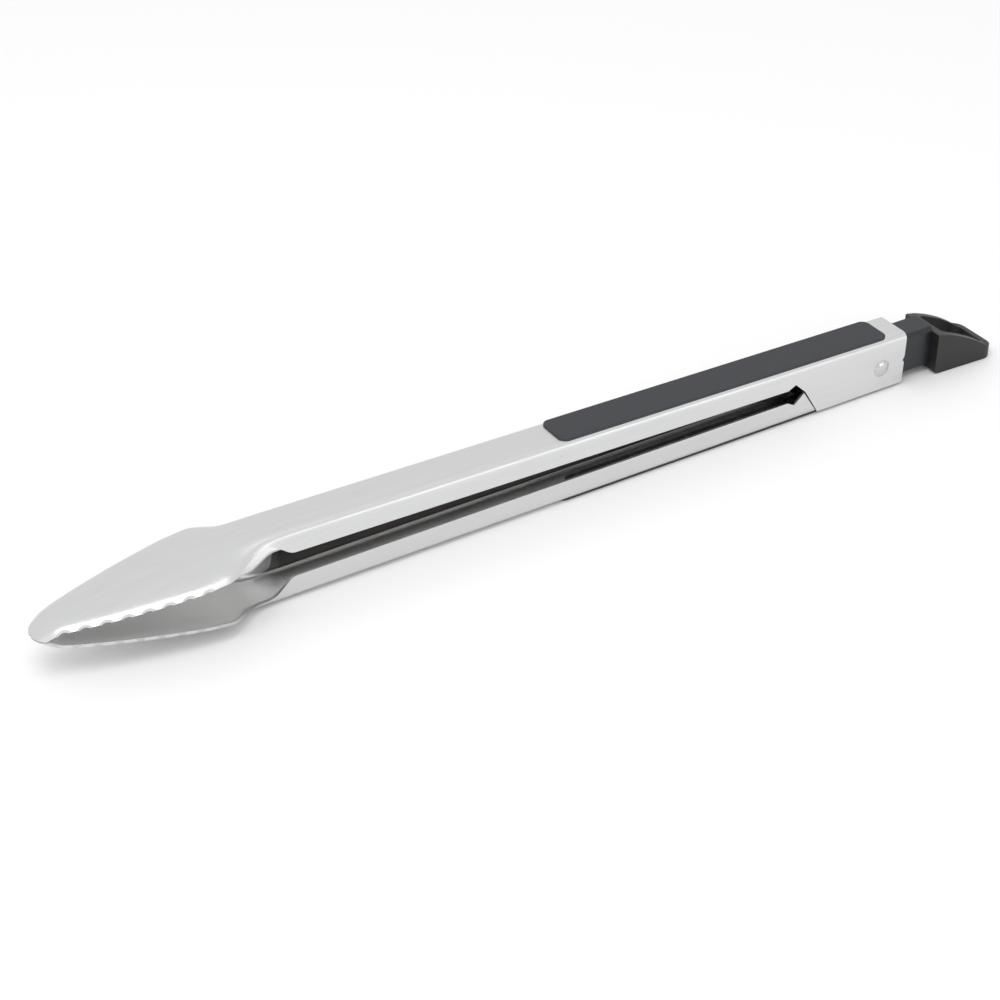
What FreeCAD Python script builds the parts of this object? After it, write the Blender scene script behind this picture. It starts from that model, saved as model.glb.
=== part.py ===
import FreeCAD, Part
import math
import os

# Long locking kitchen tongs, closed and locked. Millimetres. +X runs from the heads to the hang
# loop, +Y across, +Z up. The part is drawn with x = 0 on the hinge axis and z = 0 on the outer
# face of the lower arm, and is moved to its final origin when it is written.

Vector = FreeCAD.Vector

# ---- driving dimensions ----
CHANNEL_WIDTH = 22.0
SHEET = 1.2
BEND_OUTER = 3.2                  # outside radius of the long folds
FLANGE_HEIGHT = 11.2              # outer face to the free edge of the side
MID_HEIGHT = 14.07                # outer face to the plane between the arms, at the hinge
HINGE_HEIGHT = 12.6               # outer face of the lower arm to the hinge axis
CLOSED_WEDGE = math.radians(1.16)  # angle between the two outer faces when closed
TAIL = 14.4                       # hinge axis to the rear end of the arms
REACH = 442.6                     # hinge axis to the tip
JOIN_TOLERANCE = 0.01             # where the head's curved sheet meets the channel

ARROW_TIP = 47.7                  # distances ahead of the hinge axis
ARROW_APEX = 54.0
ARROW_START = 58.2
ARROW_HALF = 5.7
SEAM_LEAN = math.radians(33.0)
EAR_BOTTOM = 0.5
EAR_GAP = 0.30                    # between outer ear and nested side
JOGGLE = 0.8                      # length of the step in the nested side
NESTED_TOP = 7.0                  # nested side above the plane between the arms
SEAM_GAP = 0.25                   # between the ear's front edge and the step
REAR_NOTCH = 1.0                  # small bite out of the ear's rear edge
LOWER_WEB_END = -4.2              # lower outer face stops here so that the lock can pass

NECK_START = 325.0                # end of the straight channel
WAIST = 339.0                     # where the side is lowest
WAIST_LIP = 0.8                   # side left beyond the fold at the waist
SHOULDER = 362.6                  # full width reached
SHOULDER_END = 372.6              # and left again
SHOULDER_HALF = 23.1
SIDE_TAPER = 0.12
SIDE_CURVE = 0.0016
HEAD_BREAK = 337.6                # the head bends up out of the arm's outer face here
HEAD_SLOPE = 0.1289
CROWN_RADIUS = 120.0               # of the head across its width
CREASE = 433.6                    # rim crease on the centre line
CREASE_NOSE = 6.0                 # roundness of the crease round the nose
CREASE_RUN = 2.9                  # millimetres back for each millimetre outward
RIM_SLOPE = 0.06
LIP_WIDTH = 1.9                   # steep lip along each side, in which the scallops are cut
LIP_SLOPE = 0.75
LIP_SOFTNESS = 1.2
NOSE_SLOPE = 0.48
TIP_RADIUS = 9.6
TIP_GAP = 0.15
SCALLOP_FIRST = 372.2
SCALLOP_PITCH = 8.65
SCALLOP_RADIUS = 4.6
SCALLOP_DEPTH = 1.3
SCALLOPS = 8

GRIP_FRONT = 187.8
GRIP_BACK = -3.6                  # behind the axis is negative
GRIP_HALF = 9.5
GRIP_PROUD = 1.0
GRIP_CORNER = 4.0
GRIP_RIM = 0.5
STRIP_HALF = 4.2
STRIP_THICK = 1.0
STUDS = 5
STUD_FIRST = 172.0                # ahead of the hinge axis
STUD_LAST = 47.0
STUD_RADIUS = 1.8
CLIP_RADIUS = 3.2
CLIP_THICK = 0.4

PIN_RADIUS = 2.0
RUNNING_FIT = 0.05
RIVET_HEAD_RADIUS = 4.6
RIVET_HEAD_HEIGHT = 1.7
BUSH_RADIUS = 3.0
WASHER_RADIUS = 5.5

WIRE_RADIUS = 0.8
COIL_RADIUS = 4.1
COIL_TURNS = 4.5
COIL_PITCH = 1.68
LEG_LENGTH = 34.0
LEG_SPREAD = math.radians(13.4)   # each leg away from their middle line, arms closed
LEG_LIFT = math.radians(2.4)      # middle line of the legs above the level

SLIDER_HALF_WIDTH = 7.9
SLIDER_LOW = 2.0
SLIDER_HIGH = 24.0
SLIDER_STROKE = 14.0
SLIDER_FRONT = 5.4
SLIDER_BEVEL = 1.8
POCKET_HALF_WIDTH = 6.25
POCKET_HALF_HEIGHT = 7.0
ROOF_START = 9.0
TANG_HALF_WIDTH = 5.0
TANG_HALF_HEIGHT = 4.0
TANG_LENGTH = 5.0
TANG_HEIGHT = HINGE_HEIGHT - 3.0
LOOP_PIN_RADIUS = 1.0

LOOP_FRONT = 34.4
LOOP_LENGTH = 37.5
LOOP_FRONT_HALF = 12.8
LOOP_BACK_HALF = 14.4
LOOP_TOP = 21.5
LOOP_BACK_TOP = 5.2
LOOP_ARCH = 1.1
LOOP_WALL = 3.4
LOOP_PANEL = 5.5
LOOP_CORNER = 6.0
LOOP_INNER_CORNER = 2.5
LOOP_CLEARANCE = 0.3              # underside of the loop above the resting plane

HALF = CHANNEL_WIDTH / 2
NESTED_HALF = HALF - SHEET - EAR_GAP
HINGE = Vector(0, 0, HINGE_HEIGHT)
MIDDLE = Vector(0, 0, MID_HEIGHT)
MID_TILT = math.tan(CLOSED_WEDGE / 2)


def mid_height(ahead):
    """Height of the plane between the closed arms, at a distance ahead of the hinge."""
    return MID_HEIGHT + MID_TILT * ahead


def smooth(t):
    """0 to 1 with level ends."""
    t = min(1.0, max(0.0, t))
    return t * t * (3 - 2 * t)


def beyond(distance, softness):
    """The distance where it is positive and nothing where it is negative, with a soft bend."""
    return (distance + math.hypot(distance, softness)) / 2


def box(x0, x1, y0, y1, z0, z1):
    return Part.makeBox(x1 - x0, y1 - y0, z1 - z0, Vector(x0, y0, z0))


def rod(radius, start, end):
    return Part.makeCylinder(radius, (end - start).Length, start, end - start)


def cross_rod(radius, half_length, x=0.0, z=HINGE_HEIGHT):
    """Round bar across the tongs."""
    return rod(radius, Vector(x, -half_length, z), Vector(x, half_length, z))


def outline_prism(points, half_width):
    """Side outline, given as (x, z), carried across the tongs."""
    corners = [Vector(x, -half_width, z) for x, z in points]
    face = Part.Face(Part.makePolygon(corners + corners[:1]))
    return face.extrude(Vector(0, 2 * half_width, 0))


def rounded_slab(x0, x1, half_width, corner, z0, z1):
    slab = box(x0, x1, -half_width, half_width, z0, z1)
    upright = [e for e in slab.Edges if abs(e.tangentAt(e.FirstParameter).z) > 0.9]
    return slab.makeFillet(corner, upright)


# ---- the folded channel ----
def channel_wire(half_width, height, x, lean=0.0):
    """Outline of the folded sheet across the arm, in a plane that leans forward as it rises."""
    inner = BEND_OUTER - SHEET

    def at(y, z):
        return Vector(x - z * lean, y, z)

    def fold(side, radius, first_is_upright):
        centre_y = side * (half_width - BEND_OUTER)
        angles = (0.0, 45.0, 90.0) if first_is_upright else (90.0, 45.0, 0.0)
        ends = []
        for angle in angles:
            a = math.radians(angle)
            ends.append(at(centre_y + side * radius * math.cos(a), BEND_OUTER - radius * math.sin(a)))
        return Part.Arc(*ends).toShape(), ends[0], ends[2]

    left_arc, left_up, left_low = fold(-1, BEND_OUTER, True)
    right_arc, right_low, right_up = fold(1, BEND_OUTER, False)
    in_right_arc, in_right_up, in_right_low = fold(1, inner, True)
    in_left_arc, in_left_low, in_left_up = fold(-1, inner, False)
    top_out_left, top_out_right = at(-half_width, height), at(half_width, height)
    top_in_right, top_in_left = at(half_width - SHEET, height), at(SHEET - half_width, height)
    return Part.Wire([
        Part.makeLine(top_out_left, left_up), left_arc,
        Part.makeLine(left_low, right_low), right_arc,
        Part.makeLine(right_up, top_out_right),
        Part.makeLine(top_out_right, top_in_right),
        Part.makeLine(top_in_right, in_right_up), in_right_arc,
        Part.makeLine(in_right_low, in_left_low), in_left_arc,
        Part.makeLine(in_left_up, top_in_left),
        Part.makeLine(top_in_left, top_out_left),
    ])


def straight_channel(half_width, height, x0, x1):
    return Part.Face(channel_wire(half_width, height, x0)).extrude(Vector(x1 - x0, 0, 0))


def slot_edge():
    """Free edge of the side from the neck to the arrow tip, as (x, z) from the hinge outward."""
    return [
        (-ARROW_TIP, mid_height(ARROW_TIP)),
        (-ARROW_APEX, mid_height(ARROW_APEX) - ARROW_HALF),
        (-ARROW_START, FLANGE_HEIGHT),
        (-NECK_START, FLANGE_HEIGHT),
    ]


# ---- the spade head ----
def sheet_edge(ahead):
    """Distance along the sheet from its centre line to its free edge."""
    to_side = HALF - BEND_OUTER + BEND_OUTER * math.pi / 2
    at_neck = to_side + FLANGE_HEIGHT - BEND_OUTER
    at_waist = to_side + WAIST_LIP
    if ahead < WAIST:
        return at_neck + (at_waist - at_neck) * smooth((ahead - NECK_START) / (WAIST - NECK_START))
    if ahead < SHOULDER:
        return at_waist + (SHOULDER_HALF - at_waist) * smooth((ahead - WAIST) / (SHOULDER - WAIST))
    run = max(0.0, ahead - SHOULDER_END)
    return SHOULDER_HALF - SIDE_TAPER * run - SIDE_CURVE * run * run


def head_height(ahead, across):
    """Outer surface of the head: a rising crowned plate with its rim and nose bent further up."""
    plate = HEAD_SLOPE * beyond(ahead - HEAD_BREAK, 5.0)
    crown = across * across / (2 * CROWN_RADIUS)
    round_nose = math.hypot(CREASE_RUN * across, CREASE_NOSE)
    to_crease = ahead - (CREASE + CREASE_NOSE - round_nose)
    steepness = math.hypot(1.0, CREASE_RUN * CREASE_RUN * across / round_nose)
    rim = RIM_SLOPE * beyond(to_crease / steepness, 1.2)
    nose = NOSE_SLOPE * beyond(ahead - CREASE, 2.5)
    lip = LIP_SLOPE * beyond(abs(across) - sheet_edge(ahead) + LIP_WIDTH, LIP_SOFTNESS)
    return plate + crown + rim + nose + lip


def channel_point(along):
    """Point (y, z) of the channel's outer face at a distance along the sheet."""
    side = -1.0 if along < 0 else 1.0
    s = abs(along)
    flat = HALF - BEND_OUTER
    fold = BEND_OUTER * math.pi / 2
    if s <= flat:
        return side * s, 0.0
    if s <= flat + fold:
        a = (s - flat) / BEND_OUTER
        return side * (flat + BEND_OUTER * math.sin(a)), BEND_OUTER * (1 - math.cos(a))
    return side * HALF, BEND_OUTER + s - flat - fold


def head_point(ahead, share):
    """Outer face of the sheet between neck and tip. share runs from -1 to 1 across it."""
    along = share * sheet_edge(ahead)
    y0, z0 = channel_point(along)
    k = smooth((ahead - NECK_START) / (SHOULDER - NECK_START))
    return Vector(-ahead, y0 + k * (along - y0), z0 + k * (head_height(ahead, along) - z0))


def head_inside(ahead, share):
    """Inner face of the sheet, square to the outer one."""
    step = 0.01
    at = head_point(ahead, share)
    forward = head_point(ahead + step, share) - at
    if ahead <= NECK_START:
        forward = Vector(-step, 0, 0)
    across = head_point(ahead, share + step) - head_point(ahead, share - step)
    normal = across.cross(forward).normalize()
    inward = Vector(0, -at.y, HALF)
    if normal.dot(inward) < 0:
        normal = normal * -1.0
    return at + normal * SHEET


def head_solid():
    """Sheet of constant thickness from the neck to just past the tip."""
    rows, columns = 52, 45
    end = REACH + 0.8
    stations = [NECK_START + (end - NECK_START) * i / (rows - 1) for i in range(rows)]
    shares = [2.0 * j / (columns - 1) - 1.0 for j in range(columns)]
    skins = []
    for point in (head_point, head_inside):
        surface = Part.BSplineSurface()
        surface.interpolate([[point(a, s) for s in shares] for a in stations])
        skins.append(surface)
    outer, inner = skins
    faces = [outer.toShape(), inner.toShape()]
    u0, u1, v0, v1 = outer.bounds()
    p0, p1, q0, q1 = inner.bounds()
    pairs = [
        (outer.uIso(u0), inner.uIso(p0)),
        (outer.uIso(u1), inner.uIso(p1)),
        (outer.vIso(v0), inner.vIso(q0)),
        (outer.vIso(v1), inner.vIso(q1)),
    ]
    for a, b in pairs:
        faces.append(Part.makeRuledSurface(a.toShape(), b.toShape()))
    shell = Part.makeShell(faces)
    shell.sewShape()
    solid = Part.makeSolid(shell)
    if solid.Volume < 0:
        solid.reverse()
    return trim_head(solid)


def trim_head(solid):
    """Round the tip, bite the scallops out of the edge, and stop short of the other head."""
    centre = REACH - TIP_RADIUS
    outside = box(-REACH - 6, -centre - 1.2, -30, 30, -5, 30)
    nose = rod(TIP_RADIUS, Vector(-centre, 0, -6), Vector(-centre, 0, 31))
    solid = solid.cut(outside.cut(nose))
    bites = []
    offset = SCALLOP_RADIUS - SCALLOP_DEPTH
    for side in (-1, 1):
        for i in range(SCALLOPS):
            ahead = SCALLOP_FIRST + SCALLOP_PITCH * i
            y = side * (edge_half(ahead) + offset)
            bites.append(rod(SCALLOP_RADIUS, Vector(-ahead, y, -6), Vector(-ahead, y, 31)))
    solid = solid.cut(bites[0].multiFuse(bites[1:]))
    top = [(-NECK_START + 1, mid_height(NECK_START)), (-REACH - 9, mid_height(REACH + 8) - TIP_GAP)]
    low = [(-REACH - 9, -9), (-NECK_START + 1, -9)]
    return solid.common(outline_prism(top + low, 40))


def edge_half(ahead):
    return head_point(ahead, 1.0).y


# ---- arms ----
def studs_at():
    step = (STUD_FIRST - STUD_LAST) / (STUDS - 1)
    return [-(STUD_FIRST - i * step) for i in range(STUDS)]


def grip_holes():
    holes = [rod(STUD_RADIUS + RUNNING_FIT, Vector(x, 0, -1), Vector(x, 0, 4)) for x in studs_at()]
    return holes[0].multiFuse(holes[1:])


def finish_arm(channel, outline):
    side = channel.common(outline_prism(outline, 40))
    arm = side.fuse(head_solid(), JOIN_TOLERANCE)
    return arm.cut(grip_holes())


def flip_to_upper(shape):
    """Turn a piece drawn on the lower arm over to the upper one, with the arms closed."""
    upper = shape.copy()
    upper.rotate(MIDDLE, Vector(1, 0, 0), 180)
    upper.rotate(MIDDLE, Vector(0, 1, 0), math.degrees(CLOSED_WEDGE))
    return upper


def pin_hole():
    return cross_rod(PIN_RADIUS + RUNNING_FIT, 40)


def upper_arm():
    ear_top = 2 * MID_HEIGHT - EAR_BOTTOM
    tilt = math.tan(CLOSED_WEDGE)
    tip = mid_height(ARROW_TIP)
    seam_run = (ear_top - tip) * math.tan(SEAM_LEAN + CLOSED_WEDGE)
    ear_front = -ARROW_TIP + seam_run
    outline = [
        (TAIL, -1),
        (TAIL, MID_HEIGHT - 1.5 * REAR_NOTCH),
        (TAIL - REAR_NOTCH, MID_HEIGHT + 0.6 * REAR_NOTCH),
        (TAIL, MID_HEIGHT + 2.1 * REAR_NOTCH),
        (TAIL, ear_top - tilt * TAIL),
        (ear_front, ear_top - tilt * ear_front),
    ] + slot_edge() + [(-NECK_START, -1)]
    channel = straight_channel(HALF, ear_top + 3, -NECK_START, TAIL + 1)
    return flip_to_upper(finish_arm(channel, outline)).cut(pin_hole())


def lower_arm():
    lean = math.tan(SEAM_LEAN)
    tip = mid_height(ARROW_TIP)
    height = MID_HEIGHT + NESTED_TOP + 1
    seam_foot = -ARROW_TIP + tip * lean - SEAM_GAP
    front_wire = channel_wire(HALF, height, seam_foot - JOGGLE, lean)
    back_wire = channel_wire(NESTED_HALF, height, seam_foot, lean)
    front = Part.Face(front_wire).extrude(Vector(-NECK_START, 0, 0))
    front = front.common(box(-NECK_START, 10, -40, 40, -1, 40))
    step = Part.makeLoft([front_wire, back_wire], True, True)
    back = Part.Face(back_wire).extrude(Vector(90, 0, 0))
    channel = front.multiFuse([step, back])
    nested_top = MID_HEIGHT + NESTED_TOP
    outline = [
        (TAIL - 0.4, -1),
        (TAIL - 0.4, nested_top),
        (-ARROW_TIP + 9.0, nested_top),
        (-ARROW_TIP + 1.2, tip + 0.4),
    ] + slot_edge() + [(-NECK_START, -1)]
    arm = finish_arm(channel, outline).cut(pin_hole())
    inside = NESTED_HALF - SHEET
    return arm.cut(box(-LOWER_WEB_END, TAIL + 1, -inside, inside, -1, BEND_OUTER))


# ---- grips ----
def grip_pad():
    """Soft pad whose underside follows the arm's outer face and the start of its folds."""
    pad = rounded_slab(-GRIP_FRONT, -GRIP_BACK, GRIP_HALF, GRIP_CORNER, -GRIP_PROUD, BEND_OUTER)
    rim = [e for e in pad.Edges if e.BoundBox.ZMax < -GRIP_PROUD + 0.01]
    arm = box(-GRIP_FRONT - 5, 5 - GRIP_BACK, -HALF, HALF, 0, FLANGE_HEIGHT)
    folds = [e for e in arm.Edges if abs(e.tangentAt(0).x) > 0.9 and e.BoundBox.ZMax < 0.01]
    return pad.makeFillet(GRIP_RIM, rim).cut(arm.makeFillet(BEND_OUTER, folds))


def grip_strip():
    """Stiff strip inside the channel whose studs pass through the arm into the soft pad."""
    xs = studs_at()
    strip = rounded_slab(xs[0] - 6, xs[-1] + 6, STRIP_HALF, 3.0, SHEET, SHEET + STRIP_THICK)
    holes = [rod(STUD_RADIUS, Vector(x, 0, 0), Vector(x, 0, 9)) for x in xs]
    return strip.cut(holes[0].multiFuse(holes[1:]))


def grip_with_studs():
    tall = SHEET + STRIP_THICK + 1.6
    studs = [rod(STUD_RADIUS, Vector(x, 0, -0.4), Vector(x, 0, tall)) for x in studs_at()]
    return grip_pad().multiFuse(studs)


def stud_clips():
    """Push-on star washers over the stud ends."""
    base = SHEET + STRIP_THICK
    clips = []
    for x in studs_at():
        disc = rod(CLIP_RADIUS, Vector(x, 0, base), Vector(x, 0, base + CLIP_THICK))
        bore = rod(STUD_RADIUS, Vector(x, 0, base - 1), Vector(x, 0, base + 2))
        clips.append(disc.cut(bore))
    return Part.makeCompound(clips)


# ---- hinge ----
def dome(side):
    """Domed rivet head standing on the outer face of an ear."""
    r, h = RIVET_HEAD_RADIUS, RIVET_HEAD_HEIGHT
    ball = (r * r + h * h) / (2 * h)
    face = HALF + 0.02
    centre = Vector(0, side * (face + h - ball), HINGE_HEIGHT)
    sphere = Part.makeSphere(ball, centre)
    y0, y1 = sorted((side * face, side * (face + 2 * h)))
    return sphere.common(box(-9, 9, y0, y1, HINGE_HEIGHT - 9, HINGE_HEIGHT + 9))


def hinge_rivet():
    return cross_rod(PIN_RADIUS, HALF + 0.3).multiFuse([dome(-1), dome(1)])


def hinge_bush():
    reach = NESTED_HALF - SHEET - 0.05
    return cross_rod(BUSH_RADIUS, reach).cut(cross_rod(PIN_RADIUS + RUNNING_FIT, 20))


def ear_washers():
    rings = []
    for side in (-1, 1):
        y0, y1 = sorted((side * (NESTED_HALF + 0.01), side * (HALF - SHEET - 0.01)))
        ring = rod(WASHER_RADIUS, Vector(0, y0, HINGE_HEIGHT), Vector(0, y1, HINGE_HEIGHT))
        rings.append(ring.cut(cross_rod(PIN_RADIUS + RUNNING_FIT, 20)))
    return Part.makeCompound(rings)


def torsion_spring():
    """Coil round the bush with a leg toward the inside of each arm."""
    spread = math.degrees(2 * LEG_SPREAD)
    turns = COIL_TURNS - spread / 360
    coil_length = turns * COIL_PITCH
    climb = COIL_PITCH / (2 * math.pi * COIL_RADIUS)

    def on_coil(angle):
        """Point of the wire's centre line and its direction, at an angle round the coil."""
        height = angle / (2 * math.pi) * COIL_PITCH
        at = Vector(COIL_RADIUS * math.cos(angle), COIL_RADIUS * math.sin(angle), height)
        way = Vector(-math.sin(angle), math.cos(angle), climb).normalize()
        return at, way

    first, first_way = on_coil(0.0)
    last, last_way = on_coil(turns * 2 * math.pi)
    path = [Part.makeLine(first - first_way * LEG_LENGTH, first)]
    path += Part.makeHelix(COIL_PITCH, coil_length, COIL_RADIUS).Edges
    path.append(Part.makeLine(last, last + last_way * LEG_LENGTH))
    section = Part.makeCircle(WIRE_RADIUS, first - first_way * LEG_LENGTH, first_way)
    spring = Part.Wire(path).makePipeShell([Part.Wire(section)], True, True)
    # the coil is wound up its own z; lay it across the tongs with both legs toward the heads
    spring.translate(Vector(0, 0, -coil_length / 2))
    spring.rotate(Vector(0, 0, 0), Vector(1, 0, 0), 90)
    spring.rotate(Vector(0, 0, 0), Vector(0, 1, 0), 90 - spread / 2 + math.degrees(LEG_LIFT))
    spring.translate(HINGE)
    return spring


# ---- lock ----
def lock_slider():
    """Slotted block that slides past the hinge, with the neck that leaves the arms at the back."""
    z0, z1 = SLIDER_LOW, SLIDER_HIGH
    body = box(-SLIDER_FRONT, LOOP_FRONT, -SLIDER_HALF_WIDTH, SLIDER_HALF_WIDTH, z0, z1)
    long_edges = [e for e in body.Edges if abs(e.tangentAt(e.FirstParameter).x) > 0.9]
    body = body.makeChamfer(SLIDER_BEVEL, long_edges)
    pocket_end = SLIDER_STROKE + COIL_RADIUS + WIRE_RADIUS + 0.8
    w, h = POCKET_HALF_WIDTH, POCKET_HALF_HEIGHT
    pocket = box(-SLIDER_FRONT - 1, pocket_end, -w, w, HINGE_HEIGHT - h, HINGE_HEIGHT + h)
    mouth = box(-SLIDER_FRONT - 1, ROOF_START, -w, w, z0 - 1, z1 + 1)
    slot_half = BUSH_RADIUS + 2 * RUNNING_FIT
    slot = box(0, SLIDER_STROKE, -20, 20, HINGE_HEIGHT - slot_half, HINGE_HEIGHT + slot_half)
    ends = [cross_rod(slot_half, 20), cross_rod(slot_half, 20, SLIDER_STROKE)]
    body = body.cut(pocket.multiFuse([mouth, slot] + ends))
    tang_end = LOOP_FRONT + TANG_LENGTH - 1.5
    a, b = TANG_HALF_WIDTH, TANG_HALF_HEIGHT
    tang = box(LOOP_FRONT - 1, tang_end, -a, a, TANG_HEIGHT - b, TANG_HEIGHT + b)
    return body.fuse(tang).cut(loop_pin_shape()).removeSplitter()


def loop_pin_shape():
    x = LOOP_FRONT + TANG_LENGTH / 2 - 0.8
    return rod(LOOP_PIN_RADIUS, Vector(x, -9, TANG_HEIGHT), Vector(x, 9, TANG_HEIGHT))


def upright_edges_near(shape, x):
    return [e for e in shape.Edges
            if abs(e.tangentAt(e.FirstParameter).z) > 0.9 and abs(e.CenterOfMass.x - x) < 1.0]


def loop_plan(inset, z0, z1, front_wall):
    """Tapered plan of the loop, drawn in by a wall thickness, as an upright prism."""
    x0, x1 = LOOP_FRONT + front_wall, LOOP_FRONT + LOOP_LENGTH - inset
    a, b = LOOP_FRONT_HALF - inset, LOOP_BACK_HALF - inset
    corners = [Vector(x0, -a, z0), Vector(x1, -b, z0), Vector(x1, b, z0), Vector(x0, a, z0)]
    prism = Part.Face(Part.makePolygon(corners + corners[:1])).extrude(Vector(0, 0, z1 - z0))
    prism = prism.makeFillet(LOOP_CORNER - inset / 2, upright_edges_near(prism, x1))
    if inset:
        prism = prism.makeFillet(LOOP_INNER_CORNER, upright_edges_near(prism, x0))
    return prism


def loop_profile():
    """Side outline of the loop: level underside, upright front, and a top that arches down."""
    bottom = LOOP_CLEARANCE - GRIP_PROUD
    back = LOOP_FRONT + LOOP_LENGTH + 1
    foot = 1.5
    crest = Vector(LOOP_FRONT + 6, 0, LOOP_TOP - 1.2)
    tail = Vector(back - 5, 0, LOOP_BACK_TOP + 0.8)
    middle = (crest + tail) * 0.5 + Vector(0.5, 0, LOOP_ARCH)
    outline = [
        tail,
        Vector(back, 0, LOOP_BACK_TOP),
        Vector(back, 0, bottom + foot),
        Vector(back - 2 * foot, 0, bottom),
        Vector(LOOP_FRONT + foot, 0, bottom),
        Vector(LOOP_FRONT, 0, bottom + foot),
        Vector(LOOP_FRONT - 0.8, 0, LOOP_TOP),
        Vector(LOOP_FRONT + 1.0, 0, LOOP_TOP),
        crest,
    ]
    edges = [Part.makeLine(p, q) for p, q in zip(outline, outline[1:])]
    edges.append(Part.Arc(crest, middle, tail).toShape())
    face = Part.Face(Part.Wire(edges))
    face.translate(Vector(0, -40, 0))
    return face.extrude(Vector(0, 80, 0))


def hang_loop():
    bottom = LOOP_CLEARANCE - GRIP_PROUD
    body = loop_plan(0, bottom - 1, LOOP_TOP + 1, 0).common(loop_profile())
    body = body.cut(loop_plan(LOOP_WALL, bottom - 5, LOOP_TOP + 5, LOOP_PANEL))
    a, b = TANG_HALF_WIDTH, TANG_HALF_HEIGHT
    tang_end = LOOP_FRONT + TANG_LENGTH - 1.5
    socket = box(LOOP_FRONT - 2, tang_end, -a, a, TANG_HEIGHT - b, TANG_HEIGHT + b)
    return body.cut(socket).cut(loop_pin_shape())


# ---- write every piece ----
def nodes():
    lower_grip = grip_with_studs()
    strip = grip_strip()
    clips = stud_clips()
    return {
        "lower_arm": lower_arm(),
        "upper_arm": upper_arm(),
        "lower_grip": lower_grip,
        "upper_grip": flip_to_upper(lower_grip),
        "lower_grip_strip": strip,
        "upper_grip_strip": flip_to_upper(strip),
        "lower_stud_clips": clips,
        "upper_stud_clips": flip_to_upper(clips),
        "hinge_rivet": hinge_rivet(),
        "hinge_bush": hinge_bush(),
        "ear_washers": ear_washers(),
        "torsion_spring": torsion_spring(),
        "lock_slider": lock_slider(),
        "hang_loop": hang_loop(),
        "loop_pin": loop_pin_shape(),
    }


def main():
    os.makedirs("parts", exist_ok=True)
    middle = (LOOP_FRONT + LOOP_LENGTH - REACH) / 2
    to_origin = Vector(-middle, 0, GRIP_PROUD)
    for name, shape in nodes().items():
        placed = shape.copy()
        placed.translate(to_origin)
        placed.exportStep("parts/" + name + ".step")
        print(name, len(placed.Solids), placed.isValid(), round(placed.Volume, 1), placed.BoundBox)


main()
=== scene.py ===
import bpy
import bmesh
import math
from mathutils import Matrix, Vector


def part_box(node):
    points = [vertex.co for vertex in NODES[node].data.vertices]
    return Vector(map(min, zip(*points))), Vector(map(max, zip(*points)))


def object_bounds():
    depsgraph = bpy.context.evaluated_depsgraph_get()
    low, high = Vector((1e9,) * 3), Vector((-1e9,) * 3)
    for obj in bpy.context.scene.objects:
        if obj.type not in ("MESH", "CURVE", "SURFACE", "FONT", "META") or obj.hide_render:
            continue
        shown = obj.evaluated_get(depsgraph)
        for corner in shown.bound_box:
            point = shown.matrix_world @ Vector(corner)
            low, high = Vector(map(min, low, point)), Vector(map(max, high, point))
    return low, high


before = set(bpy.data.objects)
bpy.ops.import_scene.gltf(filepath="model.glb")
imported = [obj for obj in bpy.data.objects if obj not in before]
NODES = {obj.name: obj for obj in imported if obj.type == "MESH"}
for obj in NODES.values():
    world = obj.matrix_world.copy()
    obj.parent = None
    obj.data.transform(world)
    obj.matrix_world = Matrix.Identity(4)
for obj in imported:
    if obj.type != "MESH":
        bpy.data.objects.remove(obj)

MILLIMETRE = 0.001

# ---- sizes read from the frame ----
CAD_LOW, CAD_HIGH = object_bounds()
RIVET_LOW, RIVET_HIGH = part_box("hinge_rivet")
HINGE_X = (RIVET_LOW.x + RIVET_HIGH.x) / 2.0

# ---- camera, matched to the photograph ----
AZIMUTH = math.radians(-31.9)
ELEVATION = math.radians(34.12)
DISTANCE = 1.053
LENS = 82.8
SENSOR = 36.0
AIM_ALONG = 0.4425      # share of the length, from the head end
AIM_HEIGHT = 5.8 * MILLIMETRE


def make_camera():
    """A long lens, looking down across the tongs from the side of the heads."""
    length = CAD_HIGH.x - CAD_LOW.x
    target = Vector((CAD_LOW.x + AIM_ALONG * length, 0.0, AIM_HEIGHT))
    back = Vector((math.sin(AZIMUTH) * math.cos(ELEVATION), -math.cos(AZIMUTH) * math.cos(ELEVATION),
                   math.sin(ELEVATION)))
    data = bpy.data.cameras.new("camera")
    data.lens = LENS
    data.sensor_width = SENSOR
    data.dof.use_dof = False
    camera = bpy.data.objects.new("camera", data)
    bpy.context.scene.collection.objects.link(camera)
    camera.location = target + back * DISTANCE
    camera.rotation_mode = "QUATERNION"
    camera.rotation_quaternion = (-back).to_track_quat("-Z", "Y")
    bpy.context.scene.camera = camera


# ---- light and floor ----
SKY_STRENGTH = 0.90
FLOOR_HALF = 4.0
FLOOR_WHITE = 0.93


def area_light(name, place, width, height, power):
    """Rectangular white light aimed at the middle of the tongs."""
    data = bpy.data.lights.new(name, "AREA")
    data.shape = "RECTANGLE"
    data.size = width
    data.size_y = height
    data.energy = power
    light = bpy.data.objects.new(name, data)
    light.location = place
    light.rotation_mode = "QUATERNION"
    light.rotation_quaternion = (-Vector(place)).to_track_quat("-Z", "Y")
    bpy.context.scene.collection.objects.link(light)


def studio():
    """Bright even sky, one large soft key overhead and a smaller light that the long folds catch."""
    scene = bpy.context.scene
    scene.view_settings.view_transform = "Standard"
    world = bpy.data.worlds.new("studio")
    world.use_nodes = True
    background = world.node_tree.nodes["Background"]
    background.inputs["Color"].default_value = (1.0, 1.0, 1.0, 1.0)
    background.inputs["Strength"].default_value = SKY_STRENGTH
    scene.world = world
    area_light("key", place=(-0.5, -0.3, 1.5), width=1.0, height=1.0, power=7.0)
    area_light("fold", place=(0.7, -1.5, 0.42), width=1.0, height=0.35, power=1.7)


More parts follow.
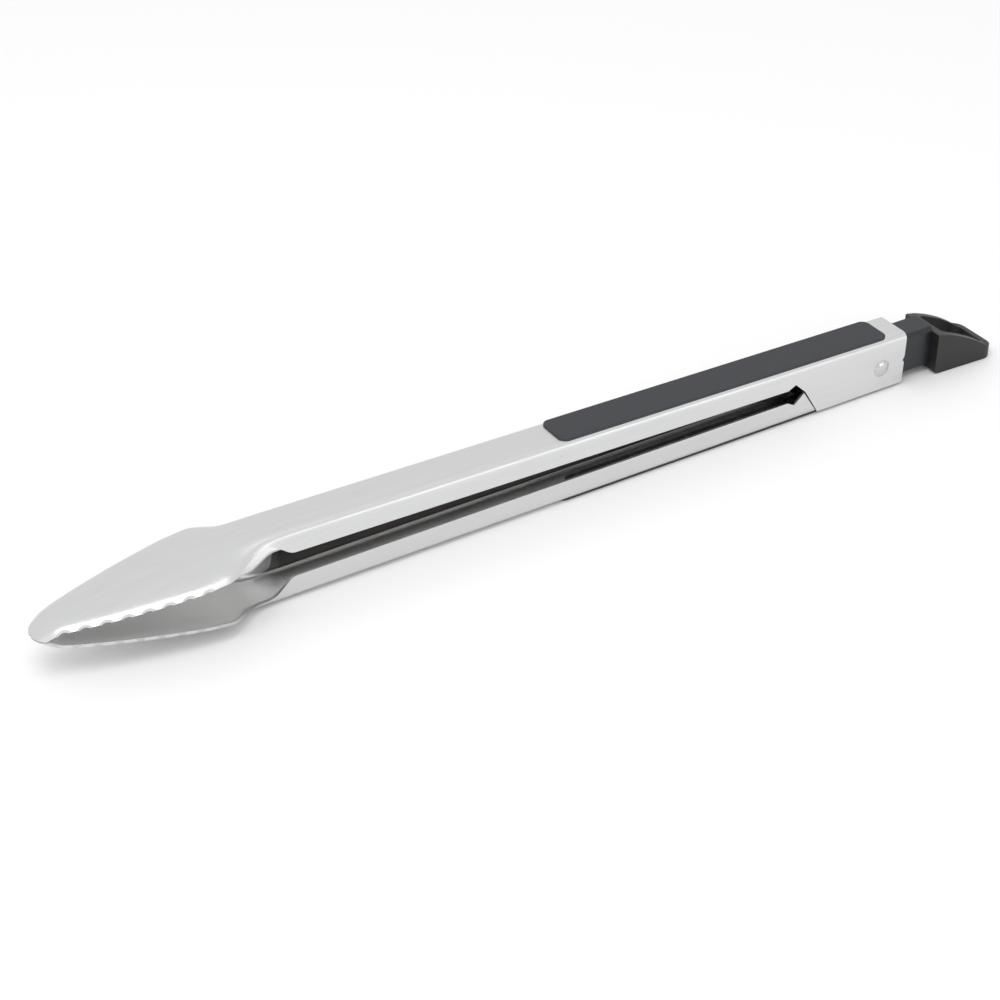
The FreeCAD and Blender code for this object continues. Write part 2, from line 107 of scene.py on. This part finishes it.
def make_floor():
    """Plain pale floor under the tongs, not part of the object."""
    mesh = bpy.data.meshes.new("floor")
    form = bmesh.new()
    bmesh.ops.create_grid(form, x_segments=1, y_segments=1, size=FLOOR_HALF)
    form.to_mesh(mesh)
    form.free()
    floor = bpy.data.objects.new("floor", mesh)
    bpy.context.scene.collection.objects.link(floor)
    material, _, _, shader = new_material("floor_white")
    shader.inputs["Base Color"].default_value = (FLOOR_WHITE, FLOOR_WHITE, FLOOR_WHITE, 1.0)
    shader.inputs["Roughness"].default_value = 0.8
    mesh.materials.append(material)


# ---- the arms' inner faces, where shade and light are painted ----
CHANNEL_END = HINGE_X - 327.0 * MILLIMETRE     # the straight channel runs from here to the hinge
CHANNEL_HALF = 9.86 * MILLIMETRE               # half its inside width, with a hair to spare
SHEET = 1.05 * MILLIMETRE                      # depth below the outer face that counts as inside
LOWER_FACE = 1.0 * MILLIMETRE                  # outer face of the lower arm
UPPER_FACE = LOWER_FACE + 28.14 * MILLIMETRE   # outer face of the upper arm over the hinge
UPPER_RISE = math.tan(math.radians(1.16))      # climb of the upper outer face towards the heads
FLARE_START = CHANNEL_END + 4.0 * MILLIMETRE   # the channel's painted shade and painted light fade out from here
FLARE_END = CHANNEL_END - 20.0 * MILLIMETRE    # to here, where the head's painted shade takes over

# ---- finishes: noise counts per metre along, across and up the tongs; painted shade and painted light in the channel ----
BRUSHING = (45.0, 3800.0, 3800.0)
STREAKS = (14.0, 420.0, 420.0)
CLOUDS = (35.0, 60.0, 60.0)
MOTTLE = (90.0, 160.0, 160.0)
# Painted shade: near-black for the channel's inner side walls.
PAINTED_SHADE_WALL = (0.10, 0.097, 0.093)
# Painted light: bright grey for the channel's inner floor.
PAINTED_LIGHT_FLOOR = (0.86, 0.855, 0.85)


def new_material(name):
    """Node material, with its nodes, links and main shader."""
    material = bpy.data.materials.new(name)
    material.use_nodes = True
    nodes, links = material.node_tree.nodes, material.node_tree.links
    return material, nodes, links, nodes["Principled BSDF"]


def noise(nodes, links, stretch, detail=3.0):
    """Noise in object space, squeezed by a different amount along each axis."""
    coords = nodes.new("ShaderNodeTexCoord")
    mapping = nodes.new("ShaderNodeMapping")
    mapping.inputs["Scale"].default_value = stretch
    texture = nodes.new("ShaderNodeTexNoise")
    texture.inputs["Scale"].default_value = 1.0
    texture.inputs["Detail"].default_value = detail
    links.new(coords.outputs["Object"], mapping.inputs["Vector"])
    links.new(mapping.outputs["Vector"], texture.inputs["Vector"])
    return texture.outputs["Fac"]


def remap(nodes, links, value, low, high, start=0.3, end=0.7):
    """Stretch a value's span from start to end onto low to high, clamped."""
    span = nodes.new("ShaderNodeMapRange")
    span.inputs["From Min"].default_value = start
    span.inputs["From Max"].default_value = end
    span.inputs["To Min"].default_value = low
    span.inputs["To Max"].default_value = high
    links.new(value, span.inputs["Value"])
    return span.outputs["Result"]


def arithmetic(nodes, links, operation, first, second):
    """Math node on two values, each a socket or a plain number."""
    step = nodes.new("ShaderNodeMath")
    step.operation = operation
    for socket, value in zip(step.inputs, (first, second)):
        if isinstance(value, (int, float)):
            socket.default_value = value
        else:
            links.new(value, socket)
    return step.outputs[0]


def blend_colour(nodes, links, share, first, second):
    """Mix of two colours, each a socket or a plain (r, g, b), by a share from 0 to 1."""
    mix = nodes.new("ShaderNodeMix")
    mix.data_type = "RGBA"
    links.new(share, mix.inputs["Factor"])
    for socket, value in ((mix.inputs[6], first), (mix.inputs[7], second)):
        if isinstance(value, tuple):
            socket.default_value = (*value, 1.0)
        else:
            links.new(value, socket)
    return mix.outputs[2]


def add_bump(nodes, links, shader, height, strength, distance):
    bump = nodes.new("ShaderNodeBump")
    bump.inputs["Strength"].default_value = strength
    bump.inputs["Distance"].default_value = distance
    links.new(height, bump.inputs["Height"])
    links.new(bump.outputs["Normal"], shader.inputs["Normal"])


def painted_light_and_shade_masks(nodes, links, upper):
    """Masks over an arm for painted shade on the side walls inside the straight channel, painted light on
    its inner floor, and painted shade on the head's inside.
    """
    coords = nodes.new("ShaderNodeTexCoord")
    place = nodes.new("ShaderNodeSeparateXYZ")
    links.new(coords.outputs["Object"], place.inputs[0])
    x, y, z = place.outputs
    facing = nodes.new("ShaderNodeSeparateXYZ")
    links.new(coords.outputs["Normal"], facing.inputs[0])
    turned_in = (-0.5, -0.8) if upper else (0.5, 0.8)
    floor = remap(nodes, links, facing.outputs[2], 0.0, 1.0, *turned_in)
    across = arithmetic(nodes, links, "ABSOLUTE", y, 0.0)
    between = arithmetic(nodes, links, "LESS_THAN", across, CHANNEL_HALF)
    if upper:
        lift = arithmetic(nodes, links, "MULTIPLY", x, -UPPER_RISE)
        face = arithmetic(nodes, links, "ADD", lift, UPPER_FACE + UPPER_RISE * HINGE_X - SHEET)
        deep = arithmetic(nodes, links, "LESS_THAN", z, face)
    else:
        deep = arithmetic(nodes, links, "GREATER_THAN", z, LOWER_FACE + SHEET)
    straight = remap(nodes, links, x, 0.0, 1.0, FLARE_END, FLARE_START)
    inside = arithmetic(nodes, links, "MULTIPLY", between, deep)
    inside = arithmetic(nodes, links, "MULTIPLY", inside, straight)
    # Painted light mask: the channel's inner floor.
    painted_floor_light = arithmetic(nodes, links, "MULTIPLY", inside, floor)
    flared = arithmetic(nodes, links, "SUBTRACT", 1.0, straight)
    # Painted shade mask: the head's inside.
    painted_head_shade = arithmetic(nodes, links, "MULTIPLY", flared, floor)
    return inside, painted_floor_light, painted_head_shade


def brushed_steel(name, grey, roughness, inside=None):
    """Stainless sheet, brushed along the arm, with faint cloudy wear, painted shade on the channel's inner
    walls and the head's inside, and painted light on the channel's inner floor.
    """
    material, nodes, links, shader = new_material(name)
    grain = noise(nodes, links, BRUSHING)
    streaks = noise(nodes, links, STREAKS, 2.0)
    clouds = noise(nodes, links, CLOUDS, 2.0)
    bright = (grey * 1.015, grey * 1.015, grey * 1.02)
    dull = (grey * 0.975, grey * 0.98, grey * 0.99)
    colour = blend_colour(nodes, links, remap(nodes, links, streaks, 0.0, 1.0), bright, dull)
    rough = remap(nodes, links, grain, roughness - 0.05, roughness + 0.07)
    wear = remap(nodes, links, clouds, -0.02, 0.03)
    rough = arithmetic(nodes, links, "ADD", rough, wear)
    if inside is not None:
        painted_wall_shade, floor, painted_head_shade = painted_light_and_shade_masks(nodes, links, inside == "upper")
        # Painted shade: the head's inside darkened.
        colour = blend_colour(nodes, links, painted_head_shade, colour, (grey * 0.64, grey * 0.635, grey * 0.63))
        # Painted shade: the channel's inner side walls turned near-black.
        colour = blend_colour(nodes, links, painted_wall_shade, colour, PAINTED_SHADE_WALL)
        # Painted light: the channel's inner floor turned bright grey.
        colour = blend_colour(nodes, links, floor, colour, PAINTED_LIGHT_FLOOR)
    links.new(colour, shader.inputs["Base Color"])
    links.new(rough, shader.inputs["Roughness"])
    shader.inputs["Metallic"].default_value = 1.0
    add_bump(nodes, links, shader, grain, 0.10, 0.00004)
    return material


def moulded(name, dark, light, roughness, grain_size, grain_height):
    """Moulded plastic or rubber: eroded-tool grain, faint mottling and uneven sheen."""
    material, nodes, links, shader = new_material(name)
    per_metre = 1.0 / grain_size
    grain = noise(nodes, links, (per_metre, per_metre, per_metre), 2.0)
    mottle = noise(nodes, links, MOTTLE)
    colour = blend_colour(nodes, links, remap(nodes, links, mottle, 0.0, 1.0), dark, light)
    rough = remap(nodes, links, mottle, roughness - 0.05, roughness + 0.06)
    links.new(colour, shader.inputs["Base Color"])
    links.new(rough, shader.inputs["Roughness"])
    add_bump(nodes, links, shader, grain, 0.35, grain_height)
    return material


def dress(node, material):
    """Give a CAD node its one material."""
    mesh = NODES[node].data
    mesh.materials.clear()
    mesh.materials.append(material)


def soften_edges(node, width):
    """Small rounded edges on a moulded part."""
    bevel = NODES[node].modifiers.new("rounded_edges", "BEVEL")
    bevel.width = width
    bevel.segments = 3
    bevel.limit_method = "ANGLE"
    bevel.angle_limit = math.radians(30.0)
    bevel.harden_normals = True


def dress_all():
    lower = brushed_steel("steel_lower", 0.68, 0.34, "lower")
    upper = brushed_steel("steel_upper", 0.70, 0.34, "upper")
    rivet = brushed_steel("rivet_steel", 0.60, 0.24)
    wire = brushed_steel("spring_wire", 0.30, 0.32)
    grip = moulded("soft_grip", (0.029, 0.030, 0.036), (0.036, 0.037, 0.043), 0.64, 0.0005, 0.00004)
    neck = moulded("nylon_neck", (0.007, 0.009, 0.012), (0.012, 0.015, 0.019), 0.40, 0.0006, 0.00003)
    loop = moulded("loop_black", (0.009, 0.009, 0.010), (0.014, 0.014, 0.015), 0.48, 0.0006, 0.00003)
    strip = moulded("nylon_strip", (0.012, 0.012, 0.012), (0.020, 0.020, 0.020), 0.5, 0.0006, 0.00003)
    natural = moulded("acetal", (0.70, 0.69, 0.65), (0.78, 0.77, 0.74), 0.4, 0.0006, 0.00002)
    clip = brushed_steel("clip_oxide", 0.06, 0.40)
    finishes = {
        "lower_arm": lower, "upper_arm": upper, "hinge_rivet": rivet, "torsion_spring": wire,
        "lower_stud_clips": clip, "upper_stud_clips": clip, "loop_pin": wire,
        "lower_grip": grip, "upper_grip": grip, "lower_grip_strip": strip, "upper_grip_strip": strip,
        "lock_slider": neck, "hang_loop": loop, "hinge_bush": natural, "ear_washers": natural,
    }
    for node, material in finishes.items():
        dress(node, material)
    soften_edges("hang_loop", 0.0009)


make_camera()
studio()
make_floor()
dress_all()
